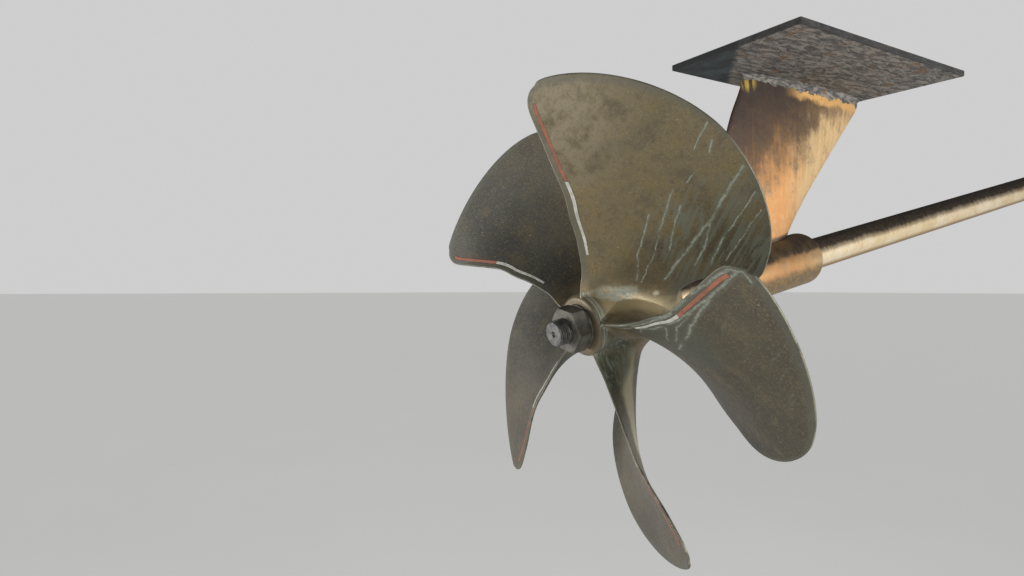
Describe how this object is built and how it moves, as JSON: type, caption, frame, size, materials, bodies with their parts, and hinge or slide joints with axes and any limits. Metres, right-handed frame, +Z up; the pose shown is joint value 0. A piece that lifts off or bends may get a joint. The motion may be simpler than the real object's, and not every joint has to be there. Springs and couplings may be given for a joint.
{
  "type": "ship propeller with tail shaft and shaft bracket",
  "caption": "Skewed fixed-pitch bronze ship propeller on its inclined tail shaft, turning in the bearing of a single-arm shaft bracket with a flat palm.",
  "frame": {"origin": "middle of the palm's upper face, which lies against the hull", "axes": "+X to starboard, +Y forward along the vessel, +Z up; the shaft line rises forward at 12.25 degrees in a plane parallel to YZ"},
  "size_m": [1.0096, 2.3343, 1.1335],
  "materials": {
    "propeller_bronze": "weathered olive-brown bronze",
    "red_strip": "matte, chalked",
    "white_strip": "matte",
    "shaft_metal": "turned, stained",
    "nut_bronze": "dull dark patina",
    "bracket_bronze": "scraped bronze with brown patina",
    "key_steel": "plain",
    "bearing_brass": "dull",
    "bearing_rubber": "matte"
  },
  "bodies": {
    "bracket": {"shaft_bracket": "bracket_bronze", "bearing_shell": "bearing_brass", "bearing_lining": "bearing_rubber"},
    "rotor": {"propeller": "propeller_bronze", "tail_shaft": "shaft_metal", "shaft_key": "key_steel", "propeller_nut": "nut_bronze", "lock_nut": "nut_bronze", "nut_washer": "nut_bronze", "outer_strip_1": "red_strip", "outer_strip_2": "red_strip", "outer_strip_3": "red_strip", "outer_strip_4": "red_strip", "outer_strip_5": "red_strip", "inner_strip_1": "white_strip", "inner_strip_2": "white_strip", "inner_strip_3": "white_strip", "inner_strip_4": "white_strip", "inner_strip_5": "white_strip"}
  },
  "joints": [
    {"name": "shaft_spin", "type": "hinge", "parent": "bracket", "child": "rotor", "pos_m": [-0.1, -0.762, -0.659], "axis": [0, 0.9772, 0.2122], "continuous": true}
  ]
}
